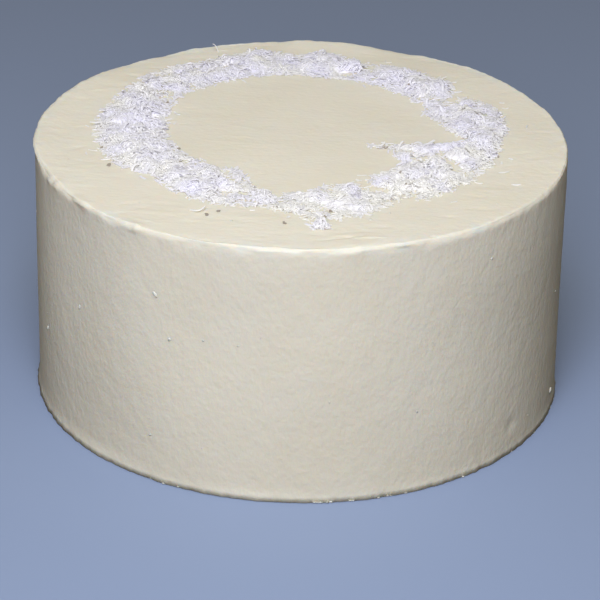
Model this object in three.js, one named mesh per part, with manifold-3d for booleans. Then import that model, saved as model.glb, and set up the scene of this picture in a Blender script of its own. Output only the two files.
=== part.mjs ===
// A round cake, iced all over in cream buttercream, with a wreath of shredded coconut on top.
// Millimetres, +Z up. The origin is the centre of the flat base that the cake stands on.
import * as THREE from "three";
import { mergeVertices } from "three/addons/utils/BufferGeometryUtils.js";
import Module from "manifold-3d";

// The iced drum
const CAKE_DIAMETER = 203; // an 8 inch cake
const CAKE_HEIGHT = 100; // 4 inches
const RIM_ROUND = 2.2; // the scraped top edge
const FOOT_FLARE = 0.5; // icing pressed outwards at the foot of the side
const FOOT_HEIGHT = 6;
const SIDE_WAVE = 0.4; // how far the scraper left the side in and out
const TOP_WAVE = 0.3; // how far the palette knife left the top up and down
const CAKE_SEGMENTS = 72;
const SIDE_BANDS = 7;
const RIM_STEPS = 3;
const TOP_BANDS = 6;

// The coconut wreath, a low heap in a ring that is set a little towards the back
const WREATH_INNER = 52; // radii of the ring's two edges
const WREATH_OUTER = 79;
const WREATH_SETBACK = 5;
const WREATH_HEIGHT = 2.2; // the heap's middle, without the shreds that lie on it
const WREATH_EDGE_WAVE = 2.4; // how far both edges wander
const WREATH_SEGMENTS = 160; // steps of about 2.6 mm, a little more than a shred's width
const WREATH_BANDS = 11;
const TONGUE_ANGLE = -22; // degrees: here a thin tongue of coconut runs in from the inner edge
const TONGUE_REACH = 12;
const TONGUE_SPREAD = 9; // degrees
const THIN_ANGLE = -105; // degrees: here the inner edge draws back and the heap is narrow
const THIN_REACH = 7;
const THIN_SPREAD = 10; // degrees
const SPILL_ANGLE = -87; // degrees: here a clump lies outside the outer edge
const SPILL_REACH = 6;
const SPILL_SPREAD = 3; // degrees

// One shred of coconut: a short, slightly bent strip with narrow ends
const SHRED_LENGTH = [4.5, 9.5];
const SHRED_WIDTH = [1.4, 2.3];
const SHRED_THICKNESS = 1.1;
const SHRED_BEND = 0.12; // rise of the strip's middle, as a share of its length
const SHRED_END = 0.5; // width of an end, as a share of the middle
const SHRED_SUNK = 0.5; // how deep a shred of the heap lies in the shreds below it
const SHRED_TILT = 14; // degrees, the steepest that it lies
const SHRED_COUNT = 600; // shreds in the heap
const FUSED_COUNT = 130; // the longest of them stand out as strips, and the rest are ridges of the core
const STRAY_COUNT = 32; // shreds that fell beside the heap
const STRAY_OUTSIDE = 0.7; // the share of them that lie outside the ring
const STRAY_SCATTER = 7; // typical distance of a stray from the ring's outer edge
const STRAY_SCATTER_INSIDE = 3;
const STRAY_SUNK = 0.3; // how deep a stray is pressed into the icing
const STRAY_TILT = 3; // degrees
const CLEARANCE = 0.3; // gap between the wreath and the iced cake

const CAKE_RADIUS = CAKE_DIAMETER / 2;
const TURN = 2 * Math.PI;
const wasm = await Module();
wasm.setup();

// A repeatable stream of numbers from 0 to 1.
function seededRandom(seed) {
  let state = seed;
  return () => {
    state = (state + 0x6d2b79f5) | 0;
    let mixed = Math.imul(state ^ (state >>> 15), 1 | state);
    mixed = (mixed + Math.imul(mixed ^ (mixed >>> 7), 61 | mixed)) ^ mixed;
    return ((mixed ^ (mixed >>> 14)) >>> 0) / 4294967296;
  };
}

const between = (random, [low, high]) => low + (high - low) * random();

// Merges a geometry's shared corners and makes it a solid.
function solidOf(geometry) {
  const bare = geometry.clone();
  bare.deleteAttribute("normal");
  bare.deleteAttribute("uv");
  const merged = mergeVertices(bare, 1e-3);
  const corners = [];
  for (let i = 0; i < merged.index.count; i += 3) {
    const [a, b, c] = [0, 1, 2].map((k) => merged.index.getX(i + k));
    if (a !== b && b !== c && c !== a) corners.push(a, b, c);
  }
  return new wasm.Manifold(
    new wasm.Mesh({
      numProp: 3,
      vertProperties: new Float32Array(merged.attributes.position.array),
      triVerts: new Uint32Array(corners),
    }),
  );
}

// The outer skin of a solid's largest body: loose scraps are dropped and sealed hollows filled.
function largestBody(solid) {
  const bodies = solid.decompose();
  return bodies.reduce((best, body) => (body.volume() > best.volume() ? body : best));
}

function geometryOf(solid) {
  const mesh = solid.getMesh();
  const geometry = new THREE.BufferGeometry();
  geometry.setAttribute("position", new THREE.BufferAttribute(mesh.vertProperties, 3));
  geometry.setIndex(new THREE.BufferAttribute(mesh.triVerts, 1));
  geometry.computeVertexNormals();
  return geometry;
}

// Moves every corner of a geometry to the place that a function gives for it.
function reshape(geometry, place) {
  const position = geometry.attributes.position;
  const point = new THREE.Vector3();
  for (let i = 0; i < position.count; i++) {
    point.fromBufferAttribute(position, i);
    place(point);
    position.setXYZ(i, point.x, point.y, point.z);
  }
  return geometry;
}

// Turns a profile of (radius, height) points about Z.
function turned(profile, segments) {
  return new THREE.LatheGeometry(profile, segments).rotateX(Math.PI / 2);
}

// How far the side stands out, from -1 to 1: slow swells of the scraper round the drum.
function sideSwell(angle, z) {
  const rise = z / CAKE_HEIGHT;
  return (
    0.5 * Math.sin(5 * angle + 2.2 * rise) +
    0.3 * Math.sin(9 * angle - 3.1 * rise + 1.3) +
    0.2 * Math.sin(14 * angle + 4.7 * rise + 0.6)
  );
}

// How far the top stands up, from -1 to 1: long strokes of the palette knife across it.
function topSwell(x, y) {
  return 0.6 * Math.sin(0.031 * x + 0.052 * y) + 0.4 * Math.sin(0.068 * y - 0.021 * x + 1.1);
}

const topHeight = (x, y) => CAKE_HEIGHT + TOP_WAVE * topSwell(x, y);

// The iced drum's profile: base, foot, side, round rim and top, from axis to axis.
function drumProfile() {
  const profile = [new THREE.Vector2(0, 0), new THREE.Vector2(CAKE_RADIUS + FOOT_FLARE, 0)];
  profile.push(new THREE.Vector2(CAKE_RADIUS + FOOT_FLARE / 4, FOOT_HEIGHT / 2));
  const rimStart = CAKE_HEIGHT - RIM_ROUND;
  for (let band = 0; band < SIDE_BANDS; band++) {
    const z = THREE.MathUtils.lerp(FOOT_HEIGHT, rimStart, band / SIDE_BANDS);
    profile.push(new THREE.Vector2(CAKE_RADIUS, z));
  }
  const topRadius = CAKE_RADIUS - RIM_ROUND;
  const rim = new THREE.EllipseCurve(topRadius, rimStart, RIM_ROUND, RIM_ROUND, 0, Math.PI / 2);
  profile.push(...rim.getPoints(RIM_STEPS));
  for (let band = TOP_BANDS - 1; band >= 0; band--) {
    profile.push(new THREE.Vector2((band / TOP_BANDS) * topRadius, CAKE_HEIGHT));
  }
  return profile;
}

// The iced drum, turned and then waved by the scraper and the palette knife.
function icedDrum() {
  return reshape(turned(drumProfile(), CAKE_SEGMENTS), (point) => {
    const angle = Math.atan2(point.y, point.x);
    const radius = Math.hypot(point.x, point.y);
    const onSide = THREE.MathUtils.smoothstep(radius, CAKE_RADIUS - 2 * RIM_ROUND, CAKE_RADIUS);
    const onTop = THREE.MathUtils.smoothstep(point.z, CAKE_HEIGHT - 2 * RIM_ROUND, CAKE_HEIGHT);
    const grown = 1 + (SIDE_WAVE * onSide * sideSwell(angle, point.z)) / CAKE_RADIUS;
    const lifted = onTop * TOP_WAVE * topSwell(point.x, point.y);
    point.set(point.x * grown, point.y * grown, point.z + lifted);
  });
}

// A soft bump round the ring: 1 at a bearing in degrees, and 0 away from it.
function bumpAt(angle, bearing, spread) {
  const degrees = THREE.MathUtils.radToDeg(angle) - bearing;
  const off = THREE.MathUtils.euclideanModulo(degrees + 180, 360) - 180;
  return Math.exp(-((off / spread) ** 2));
}

// A ragged line round the ring, from -1 to 1: a slow wave, a middling one and a quick one.
function ragged(angle, slow, middling, quick) {
  return (
    0.4 * Math.sin(slow * angle + 1) +
    0.35 * Math.sin(middling * angle) +
    0.25 * Math.sin(quick * angle)
  );
}

// The wreath's inner and outer radius at an angle.
function wreathEdges(angle) {
  const tongue = TONGUE_REACH * bumpAt(angle, TONGUE_ANGLE, TONGUE_SPREAD);
  const thin = THIN_REACH * bumpAt(angle, THIN_ANGLE, THIN_SPREAD);
  const spill = SPILL_REACH * bumpAt(angle, SPILL_ANGLE, SPILL_SPREAD);
  return {
    inner: WREATH_INNER + WREATH_EDGE_WAVE * ragged(angle, 3, 8, 29) - tongue + thin,
    outer: WREATH_OUTER + WREATH_EDGE_WAVE * ragged(angle, 4, 11, 37) + spill,
  };
}

// A point of the wreath, from 0 across the ring at its inner edge to 1 at its outer edge.
function wreathPoint(angle, across) {
  const { inner, outer } = wreathEdges(angle);
  const radius = THREE.MathUtils.lerp(inner, outer, across);
  return new THREE.Vector2(radius * Math.cos(angle), radius * Math.sin(angle));
}

// Where the wreath starts over a point: the icing and the gap, counted from the cake's height.
function wreathFloor({ x, y }) {
  return topHeight(x, y + WREATH_SETBACK) - CAKE_HEIGHT + CLEARANCE;
}

// The heap's rounded section, from 0 at its edges to 1 along its middle.
const heapDome = (across) => Math.sqrt(Math.max(0, 1 - (2 * across - 1) ** 2));

function shredSize(random) {
  const length = between(random, SHRED_LENGTH);
  return { length, width: between(random, SHRED_WIDTH), heading: random() * TURN };
}

// The shreds of the heap, spread evenly round the ring, the longest first.
function heapedShreds(random) {
  const shreds = [];
  for (let i = 0; i < SHRED_COUNT; i++) {
    const across = random();
    const spot = wreathPoint(((i + random()) / SHRED_COUNT) * TURN, across);
    const level = heapDome(across) * (WREATH_HEIGHT - SHRED_THICKNESS * random());
    shreds.push({ spot, across, level, ...shredSize(random) });
  }
  return shreds.sort((one, other) => other.length - one.length);
}

// How high a shred of the heap stands at a point: a ridge along the shred, and nothing beside it.
function ridgeHeight(shred, { x, y }) {
  const [dx, dy] = [x - shred.spot.x, y - shred.spot.y];
  const along = (dx * Math.cos(shred.heading) + dy * Math.sin(shred.heading)) / (shred.length / 2);
  const beside = (dy * Math.cos(shred.heading) - dx * Math.sin(shred.heading)) / shred.width;
  if (Math.abs(along) > 1 || Math.abs(beside) > 1) return 0;
  return shred.level + SHRED_THICKNESS * Math.sqrt((1 - along ** 2) * (1 - beside ** 2));
}

// The heap's height at a point: its rounded middle, or the shred that lies highest there.
function heapHeight(shreds, spot, across) {
  const dome = heapDome(across);
  if (dome < 0.01) return 0;
  const ridges = shreds.map((shred) => ridgeHeight(shred, spot));
  return Math.max(dome * (WREATH_HEIGHT - SHRED_THICKNESS), ...ridges);
}

// The heap's core: a closed ring of unit section, spread between the wreath's edges and heaped up.
function wreathCore(shreds) {
  const section = [];
  for (let step = 0; step <= WREATH_BANDS; step++) {
    section.push(new THREE.Vector2(1 + step / WREATH_BANDS, 1));
  }
  section.push(new THREE.Vector2(1.5, 0), section[0]);
  return reshape(turned(section.reverse(), WREATH_SEGMENTS), (point) => {
    const across = Math.hypot(point.x, point.y) - 1;
    const spot = wreathPoint(Math.atan2(point.y, point.x), across);
    const heap = point.z > 0.5 ? heapHeight(shreds, spot, across) : 0;
    point.set(spot.x, spot.y, wreathFloor(spot) + heap);
  });
}

// A shred along X: a bent three-sided strip, flat side down, widest and highest in its middle.
function shredGeometry(length, width) {
  const strip = new THREE.CylinderGeometry(1, 1, length, 3, 2).rotateZ(-Math.PI / 2);
  return reshape(strip, (point) => {
    const middle = 1 - Math.abs((2 * point.x) / length);
    const taper = THREE.MathUtils.lerp(SHRED_END, 1, middle);
    point.y *= (taper * width) / Math.sqrt(3);
    point.z = (point.z * taper * SHRED_THICKNESS) / 1.5 + SHRED_BEND * length * middle;
  });
}

// A tilted shred over a point, with its lowest corner at a height.
function shredAt(random, { length, width, heading }, steepest, { x, y }, lowest) {
  const tilt = THREE.MathUtils.degToRad(steepest);
  const geometry = shredGeometry(length, width);
  geometry.rotateX(between(random, [-tilt, tilt]));
  geometry.rotateY(between(random, [-tilt, tilt]));
  geometry.rotateZ(heading);
  geometry.computeBoundingBox();
  return solidOf(geometry.translate(x, y, lowest - geometry.boundingBox.min.z));
}

// The wreath: its core, ridged by the shorter shreds, with the longest fused on.
function coconutWreath() {
  const random = seededRandom(11);
  const shreds = heapedShreds(random);
  const ridges = shreds.slice(FUSED_COUNT);
  const strips = shreds.slice(0, FUSED_COUNT).map((shred) => {
    const above = Math.max(CLEARANCE, heapHeight(ridges, shred.spot, shred.across) - SHRED_SUNK);
    return shredAt(random, shred, SHRED_TILT, shred.spot, wreathFloor(shred.spot) + above);
  });
  return largestBody(wasm.Manifold.union([solidOf(wreathCore(ridges)), ...strips]));
}

// Shreds that fell beside the wreath and stuck to the icing. One that would touch it is left out.
function strayShreds(wreath) {
  const random = seededRandom(29);
  const strays = [];
  for (let i = 0; i < STRAY_COUNT; i++) {
    const angle = ((i + random()) / STRAY_COUNT) * TURN;
    const { inner, outer } = wreathEdges(angle);
    const spread = -Math.log(1 - 0.8 * random());
    const outside = random() < STRAY_OUTSIDE;
    const away = SHRED_LENGTH[0] / 2 + spread * (outside ? STRAY_SCATTER : STRAY_SCATTER_INSIDE);
    const radius = outside ? outer + away : inner - away;
    const x = radius * Math.cos(angle);
    const y = radius * Math.sin(angle) + WREATH_SETBACK;
    const lowest = topHeight(x, y) - STRAY_SUNK;
    const stray = shredAt(random, shredSize(random), STRAY_TILT, { x, y }, lowest);
    const overRim = Math.hypot(x, y) > CAKE_RADIUS - RIM_ROUND - SHRED_LENGTH[1] / 2;
    if (!overRim && stray.minGap(wreath, 2 * CLEARANCE) > CLEARANCE) strays.push(stray);
  }
  return strays;
}

const buttercream = new THREE.MeshStandardMaterial({ color: 0xe6dfca, roughness: 0.55, metalness: 0 });
const coconut = new THREE.MeshStandardMaterial({ color: 0xf2f1f5, roughness: 0.7, metalness: 0 });

const wreath = coconutWreath();
const wreathMesh = new THREE.Mesh(geometryOf(wreath), coconut);
wreathMesh.name = "coconut_wreath";
wreathMesh.position.set(0, WREATH_SETBACK, CAKE_HEIGHT);

const wreathInPlace = wreath.translate([0, WREATH_SETBACK, CAKE_HEIGHT]);
const cake = largestBody(wasm.Manifold.union([solidOf(icedDrum()), ...strayShreds(wreathInPlace)]));
const cakeMesh = new THREE.Mesh(geometryOf(cake), buttercream);
cakeMesh.name = "iced_cake";

const icedCake = new THREE.Group();
icedCake.add(cakeMesh, wreathMesh);
export default icedCake;
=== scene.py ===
# A tall round cake iced all over in cream buttercream, with a wreath of shredded coconut on its top.
# Metres, +Z up. The origin is the centre of the cake's flat base, and the camera looks along +Y.
import math

import bpy
import numpy as np
from mathutils import Matrix, Vector


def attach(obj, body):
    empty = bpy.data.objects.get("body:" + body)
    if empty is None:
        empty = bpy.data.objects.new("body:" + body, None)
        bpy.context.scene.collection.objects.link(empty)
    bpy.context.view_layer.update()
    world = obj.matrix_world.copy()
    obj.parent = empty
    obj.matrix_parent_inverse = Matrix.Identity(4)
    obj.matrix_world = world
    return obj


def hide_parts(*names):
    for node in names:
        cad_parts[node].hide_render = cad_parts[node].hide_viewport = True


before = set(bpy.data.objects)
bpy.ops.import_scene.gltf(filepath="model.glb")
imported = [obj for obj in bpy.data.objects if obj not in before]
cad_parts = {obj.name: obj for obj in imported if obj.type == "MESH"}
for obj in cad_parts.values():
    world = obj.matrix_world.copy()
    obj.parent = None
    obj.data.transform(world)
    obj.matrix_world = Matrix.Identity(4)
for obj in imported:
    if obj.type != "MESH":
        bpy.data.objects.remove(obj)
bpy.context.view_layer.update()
bpy.ops.object.select_all(action="DESELECT")

# The iced drum
# A tall round cake under a coat of buttercream. The side is scraped upright on a turntable and the top is
# levelled with a palette knife, which leaves soft strokes, an uneven rim and a foot pressed outwards.
MM = 0.001
DRUM_RADIUS = 101.5 * MM
DRUM_HEIGHT = 100.2 * MM
SIDE_TAPER = 0.8 * MM  # how much wider the foot is than the rim, on the radius
RIM_ROUND = 0.3 * MM
SHOULDER = 3.4 * MM  # the top of the side, which leans in a little more
SHOULDER_LEAN = 0.2 * MM
TOP_EDGE = 11 * MM  # the edge of the top, with the closest rings
FOOT_HEIGHT = 5 * MM
FOOT_FLARE = 0.5 * MM
MIDDLE_RADIUS = 45 * MM  # the top inside this has fewer marks, so its rings are wider apart
DRUM_STEPS = 540  # round the drum, 1.2 mm apart
SIDE_ROWS = 48
SHOULDER_ROWS = 13
RIM_ROWS = 6
EDGE_RINGS = 38
OUTER_RINGS = 50
MIDDLE_RINGS = 22

lean_angle = math.atan(2 * SHOULDER_LEAN / SHOULDER)
rim_foot = DRUM_HEIGHT - RIM_ROUND * (1 - math.sin(lean_angle))
heights = np.linspace(0, rim_foot - SHOULDER, SIDE_ROWS)
heights = np.append(heights, np.linspace(rim_foot - SHOULDER, rim_foot, SHOULDER_ROWS + 1)[1:])
flare = FOOT_FLARE * np.clip(1 - heights / FOOT_HEIGHT, 0, 1) ** 2
lean = SHOULDER_LEAN * np.clip((heights - rim_foot + SHOULDER) / SHOULDER, 0, 1) ** 2
side_radii = DRUM_RADIUS + SIDE_TAPER * (0.5 - heights / DRUM_HEIGHT) + flare - lean
bend = np.linspace(lean_angle, math.pi / 2, RIM_ROWS)[1:]
rim_radii = side_radii[-1] - RIM_ROUND * (math.cos(lean_angle) - np.cos(bend))
rim_heights = rim_foot + RIM_ROUND * (np.sin(bend) - math.sin(lean_angle))
inward = np.linspace(0, TOP_EDGE, EDGE_RINGS)[1:]
top_radii = np.linspace(rim_radii[-1] - TOP_EDGE, MIDDLE_RADIUS, OUTER_RINGS)[1:]
top_radii = np.append(top_radii, np.linspace(MIDDLE_RADIUS, 0, MIDDLE_RINGS)[1:])
radii = np.concatenate([[0, DRUM_RADIUS / 2], side_radii, rim_radii, rim_radii[-1] - inward, top_radii])
levels = np.concatenate([[0, 0], heights, rim_heights, np.full(len(inward) + len(top_radii), DRUM_HEIGHT)])


def spun_piece(name, radii, levels, steps, closed=False):
    """A new piece spun about Z from a profile, which starts and ends on the axis if it isn't closed."""
    count = len(radii)
    mesh = bpy.data.meshes.new(name)
    edges = [(i, (i + 1) % count) for i in range(count if closed else count - 1)]
    mesh.from_pydata([(r, 0, z) for r, z in zip(radii, levels)], edges, [])
    piece = bpy.data.objects.new(name, mesh)
    bpy.context.collection.objects.link(piece)
    bpy.ops.object.select_all(action="DESELECT")
    bpy.context.view_layer.objects.active = piece
    piece.select_set(True)
    bpy.ops.object.mode_set(mode="EDIT")
    bpy.ops.mesh.select_all(action="SELECT")
    bpy.ops.mesh.spin(steps=steps, angle=2 * math.pi, center=(0, 0, 0), axis=(0, 0, 1))
    bpy.ops.mesh.select_all(action="SELECT")
    bpy.ops.mesh.remove_doubles(threshold=0.001 * MM)
    bpy.ops.mesh.normals_make_consistent(inside=False)
    bpy.ops.mesh.select_all(action="DESELECT")
    bpy.ops.object.mode_set(mode="OBJECT")
    bpy.ops.object.shade_smooth()
    return piece


def read(items, what):
    """The coordinates or normals of a mesh's vertices, one row each."""
    values = np.empty(len(items) * 3)
    items.foreach_get(what, values)
    return values.reshape(-1, 3)


def soft_step(value, start, end):
    """0 before start, 1 after end, and a smooth rise between them."""
    share = np.clip((value - start) / (end - start), 0, 1)
    return share * share * (3 - 2 * share)


def swell(points, size, seed, waves=28):
    """A smooth random field of hills about that size apart, 1 high on average: waves in many directions."""
    draw = np.random.default_rng(seed)
    ways = draw.normal(size=(waves, 3))
    ways /= np.linalg.norm(ways, axis=1)[:, None]
    ways *= 2 * math.pi / (size * draw.uniform(0.7, 1.5, waves))[:, None]
    phases = draw.uniform(0, 2 * math.pi, waves)
    return np.sin(points @ ways.T + phases).sum(axis=1) * math.sqrt(2 / waves)


def soft_mark(u, v, length, width, heading):
    """A long soft spot at the middle of two coordinates, 1 high, that runs along a heading in degrees."""
    turn = math.radians(heading)
    along = (u * math.cos(turn) + v * math.sin(turn)) / (length / 2)
    beside = (v * math.cos(turn) - u * math.sin(turn)) / (width / 2)
    return np.exp(-(along**2) - beside**2)


def bump_at(angle, bearing, spread):
    """1 at a bearing in degrees, and 0 away from it."""
    off = (np.degrees(angle) - bearing + 180) % 360 - 180
    return np.exp(-((off / spread) ** 2))


# Marks on the top: place in mm, length, width, heading in degrees and rise. Dents have a negative rise.
TOP_MARKS = [
    (-84, -14, 6.0, 1.6, 30, -0.45),
    (-71, -38, 9.0, 1.2, -6, 0.16),
    (-59, -61, 12.0, 1.2, 4, 0.14),
    (53, -70, 4.0, 1.4, -20, -0.40),
    (47, -88, 2.0, 1.6, 60, -0.45),
    (17, -90, 3.0, 1.6, 0, -0.40),
    (25, -90, 10.0, 1.4, 3, 0.35),
    (-43, 27, 5.0, 1.4, 4, -0.20),
    (-50, 26, 6.0, 1.2, 8, 0.16),
    (-34, 26, 9.0, 1.2, 4, 0.14),
    (-44, 9, 5.0, 1.2, 2, 0.12),
    (11, 13, 15.0, 1.2, -50, 0.10),
]
# The knife leaves more short strokes all over the top, each at its own place. These sizes are in mm too.
STROKE_COUNT = 230
STROKE_REACH = 97  # from the middle of the top
STROKE_CROWDING = 0.4  # 0.5 spreads them evenly, and less than that crowds them towards the rim
STROKE_LENGTH = (4, 14)
STROKE_WIDTH = (1.2, 2)
STROKE_RISE = (0.05, 0.15)
STROKE_SWING = 14  # degrees
OUTER_REACH = 72  # beyond this the strokes are so many times stronger
OUTER_STROKE = 1.6
draw = np.random.default_rng(14)
for _ in range(STROKE_COUNT):
    reach, turn = STROKE_REACH * draw.uniform() ** STROKE_CROWDING, draw.uniform(0, 2 * math.pi)
    rise = draw.choice([-1, 1]) * draw.uniform(*STROKE_RISE) * (OUTER_STROKE if reach > OUTER_REACH else 1)
    size = (draw.uniform(*STROKE_LENGTH), draw.uniform(*STROKE_WIDTH))
    heading = draw.normal(0, STROKE_SWING)
    TOP_MARKS.append((reach * math.cos(turn), reach * math.sin(turn), *size, heading, rise))
# The slower swells of the top: height and size in mm, the stretch along the strokes, and a seed.
TOP_SWELLS = [
    (0.20, 60, 1, 1),
    (0.018, 9, 5, 2),
    (0.010, 3.5, 2, 3),
]


def top_relief(x, y):
    """How high the palette knife left the top at a place, over the drum's height."""
    spots = np.column_stack([x, y, np.zeros_like(x)])
    relief = np.zeros_like(x)
    for height, size, stretch, seed in TOP_SWELLS:
        relief += height * MM * swell(spots / [stretch, 1, 1], size * MM, seed)
    for mark_x, mark_y, length, width, heading, rise in TOP_MARKS:
        mark = soft_mark(x - mark_x * MM, y - mark_y * MM, length * MM, width * MM, heading)
        relief += rise * MM * mark
    return relief


SIDE_BLEND = 1.5 * MM  # how far in over the top the side's relief fades out
KNOB_REACH = 2.6 * MM  # how far from the edge the rim's knobs reach
drum = spun_piece("iced_drum", radii, levels, DRUM_STEPS)
points = read(drum.data.vertices, "co")
normals = read(drum.data.vertices, "normal")
x, y, z = points.T
angle = np.arctan2(y, x)
bearing = np.degrees(angle) % 360
radius = np.hypot(x, y)
on_top = 1 - soft_step(DRUM_HEIGHT - z, 0, SHOULDER)
on_side = soft_step(radius, side_radii[-1] - SIDE_BLEND, side_radii[-1]) * soft_step(z, 0, FOOT_HEIGHT)
inset = np.maximum(side_radii[-1] - radius, 0)  # how far in from the rim a point of the top is
drop = DRUM_HEIGHT - z
from_rim = np.hypot(inset, drop)
at_rim = np.exp(-((from_rim / KNOB_REACH) ** 2))
at_foot = (1 - soft_step(z, 0, FOOT_HEIGHT / 2)) * soft_step(radius, DRUM_RADIUS * 0.9, DRUM_RADIUS)

# The scraper's strokes lean as the turntable carries the side past it.
STROKE_LEAN = 20  # degrees from upright
leaning = angle + z * math.tan(math.radians(STROKE_LEAN)) / DRUM_RADIUS
wrapped = np.column_stack([DRUM_RADIUS * np.cos(leaning), DRUM_RADIUS * np.sin(leaning), z])
side_relief = 0.20 * MM * swell(points, 62 * MM, 4)
side_relief += 0.022 * MM * swell(wrapped / [1, 1, 1.3], 8 * MM, 5)
side_relief += 0.022 * MM * swell(wrapped, 4.5 * MM, 6)

# Dents in the side: bearing in degrees, height in mm, length, width, heading in degrees and rise.
SIDE_MARKS = [
    (322, 12, 6.0, 3.0, 20, -0.70),
    (312, 7, 3.0, 2.6, 0, -0.40),
    (297, 43, 5.0, 2.4, 40, -0.25),
    (299, 41, 5.0, 2.4, 40, -0.25),
]
for mark_bearing, mark_height, length, width, heading, rise in SIDE_MARKS:
    arc = np.radians((bearing - mark_bearing + 180) % 360 - 180) * DRUM_RADIUS
    side_relief += rise * MM * soft_mark(arc, z - mark_height * MM, length * MM, width * MM, heading)

# The rim isn't level. Each stretch of it: bearing and spread in degrees, how far its edge is raised, how far
# it is rounded over the top and down the side, or sharpened if below 0, how far it hangs over the side, all
# in mm, and how pale the icing is where it is smeared thin. Along the front, from about 240 to 300 degrees,
# that paleness is also a painted highlight: a whiter line where the lamp catches the rim.
RIM_STRETCHES = [
    (5, 15, 0, 0.4, 1.0, 0, 0),
    (28, 12, 0, 0.4, 1.0, 0, 0.2),
    (45, 12, 0, 0.1, 0.4, 0.2, 0.5),
    (62, 8, 0, 0.2, 0.6, 0, 0.3),
    (75, 6, 1.05, 0.1, 0.3, 0, 0.1),
    (83, 6, 1.05, 0.1, 0.3, 0, 0.2),
    (91, 5, 1.05, 0.1, 0.3, 0, 0.2),
    (119, 4, 0, 0, 0, 0.5, 0.8),
    (133, 6, 0, 0.1, 0.4, 0.3, 0.5),
    (146, 8, 1.1, 0.1, 0.4, 0.3, 0.2),
    (158, 8, 1.2, 0.1, 0.4, 0.5, 0.2),
    (172, 9, 1.1, 0.2, 0.4, 0.7, 0.3),
    (187, 7, 0.8, 0.4, 0.6, 0.9, 0.2),
    (200, 7, 0, 1.7, 2.2, 0, 0),
    (212, 8, 0, 1.3, 2.0, 0, 0),
    (219, 3, 0, 0, 0, 0.2, 0),
    (230, 7, 0, 0.6, 3.1, 0, 0.8),
    (243, 7, 0, 0.4, 1.6, 0, 0.1),
    (251, 4, 0, -0.4, -1.2, 0, 0),
    (259, 9, 0.5, 0.35, 1.7, 0, 0.6),
    (266, 3.5, 0.25, 2.6, -0.8, 0, 0),
    (272, 2.5, 0, -0.5, -1.2, 0, 0),
    (276, 9, 0.5, 0.35, 1.7, 0, 0.5),
    (282, 5, 0.3, 2.6, -0.3, 0, 0),
    (290, 7, 0.4, 0.4, 1.6, 0, 0.5),
    (291.5, 2, 0, 0, 0, 0.4, 0.2),
    (303, 8, 0, 0.9, 2.6, 0, 0.3),
    (309, 2, 0, 0, 0, 0, 0.8),
    (318, 9, 0, 0.9, 1.8, 0, 0.1),
    (331, 8, 0, 1.1, 1.8, 0, 0),
    (345, 8, 0, 0.5, 1.0, 0.2, 0),
]
RISE_INSET = 10 * MM  # how far in over the top and down the side a raised edge reaches
RISE_DROP = 4 * MM
LIP_DROP = 0.5 * MM
LIP_REACH = 0.8 * MM
LIP_FADE = (1.5 * MM, 0.5 * MM)  # how far in over the top it starts and is full
SMEAR_INSET = 4.5 * MM
SMEAR_DROP = 4 * MM
rise, over, down, lip, smear_and_highlight = (np.zeros_like(x) for _ in range(5))
for mark_bearing, spread, height, over_top, down_side, hang, share in RIM_STRETCHES:
    here = bump_at(angle, mark_bearing, spread)
    rise += height * MM * here
    over += over_top * MM * here
    down += down_side * MM * here
    lip += hang * MM * here
    smear_and_highlight += share * here
rise *= np.exp(-((inset / RISE_INSET) ** 2) - (drop / RISE_DROP) ** 2)
lip *= np.exp(-(((drop - LIP_DROP) / LIP_REACH) ** 2)) * soft_step(inset, *LIP_FADE)
smear_and_highlight *= np.exp(-((inset / SMEAR_INSET) ** 2) - (drop / SMEAR_DROP) ** 2)
# The points within that reach of the edge move on to a quarter of an ellipse.
unequal = 1 + 0.15 * swell(points, 16 * MM, 11)
over = np.clip(RIM_ROUND + over * unequal, RIM_ROUND, TOP_EDGE)
down = np.clip(RIM_ROUND + down * unequal, RIM_ROUND, SHOULDER)
past_edge = np.where(inset > drop, (inset - drop) / over, (inset - drop) / down)
quarter = (past_edge + 1) * math.pi / 4
moved_in = np.where(abs(past_edge) < 1, over * (1 - np.cos(quarter)) - inset, 0)
moved_down = np.where(abs(past_edge) < 1, down * (1 - np.sin(quarter)) - drop, 0)

# Knobs along it, the largest of them at the front left.
RIM_BUMPS = 150
BUMP_LENGTH = (2.0, 5.0)  # millimetres
BUMP_RISE = (-0.1, 0.2)  # millimetres
KNOB_RISE = (-0.1, 0.24)
KNOB_BEARINGS = (206, 236)
rim_relief = 0.10 * MM * swell(points, 14 * MM, 7) + 0.06 * MM * swell(points, 3.6 * MM, 8)
draw = np.random.default_rng(9)
for bump in range(RIM_BUMPS):
    knob = bump % 3 == 0
    spot = draw.uniform(*KNOB_BEARINGS) if knob else draw.uniform(0, 360)
    arc = np.radians((bearing - spot + 180) % 360 - 180) * DRUM_RADIUS
    length = draw.uniform(*BUMP_LENGTH) * MM
    height = draw.uniform(*(KNOB_RISE if knob else BUMP_RISE)) * MM
    rim_relief += height * np.exp(-((arc / (length / 2)) ** 2))

# Thin ridges that the knife left along the rim: from and to which bearing, how far in and how high, in mm.
# The ridges are also paler, and along the front rim that paleness is a painted highlight.
RIDGES = [
    (242, 252, 0.4, 0.08),
    (254, 275, 1.1, 0.10),
    (100, 122, 0.6, 0.20),
]
RIDGE_WIDTH = 0.7 * MM
RIDGE_FADE = 4  # degrees
ridge_rise, ridge_pale_and_highlight = np.zeros_like(x), np.zeros_like(x)
uneven = np.clip(0.8 + 0.4 * swell(points, 12 * MM, 10), 0.2, 1.4)
for first, last, ridge_inset, height in RIDGES:
    run = soft_step(bearing, first - RIDGE_FADE, first + RIDGE_FADE)
    run *= (1 - soft_step(bearing, last - RIDGE_FADE, last + RIDGE_FADE)) * uneven
    ridge_rise += height * MM * run * np.exp(-(((inset - ridge_inset * MM) / (RIDGE_WIDTH / 2)) ** 2))
    # Paler along each ridge: on the front rim this is a painted highlight.
    ridge_pale_and_highlight += 0.5 * run * np.exp(-(((from_rim - ridge_inset * MM) / (RIDGE_WIDTH / 2)) ** 2))

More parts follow.
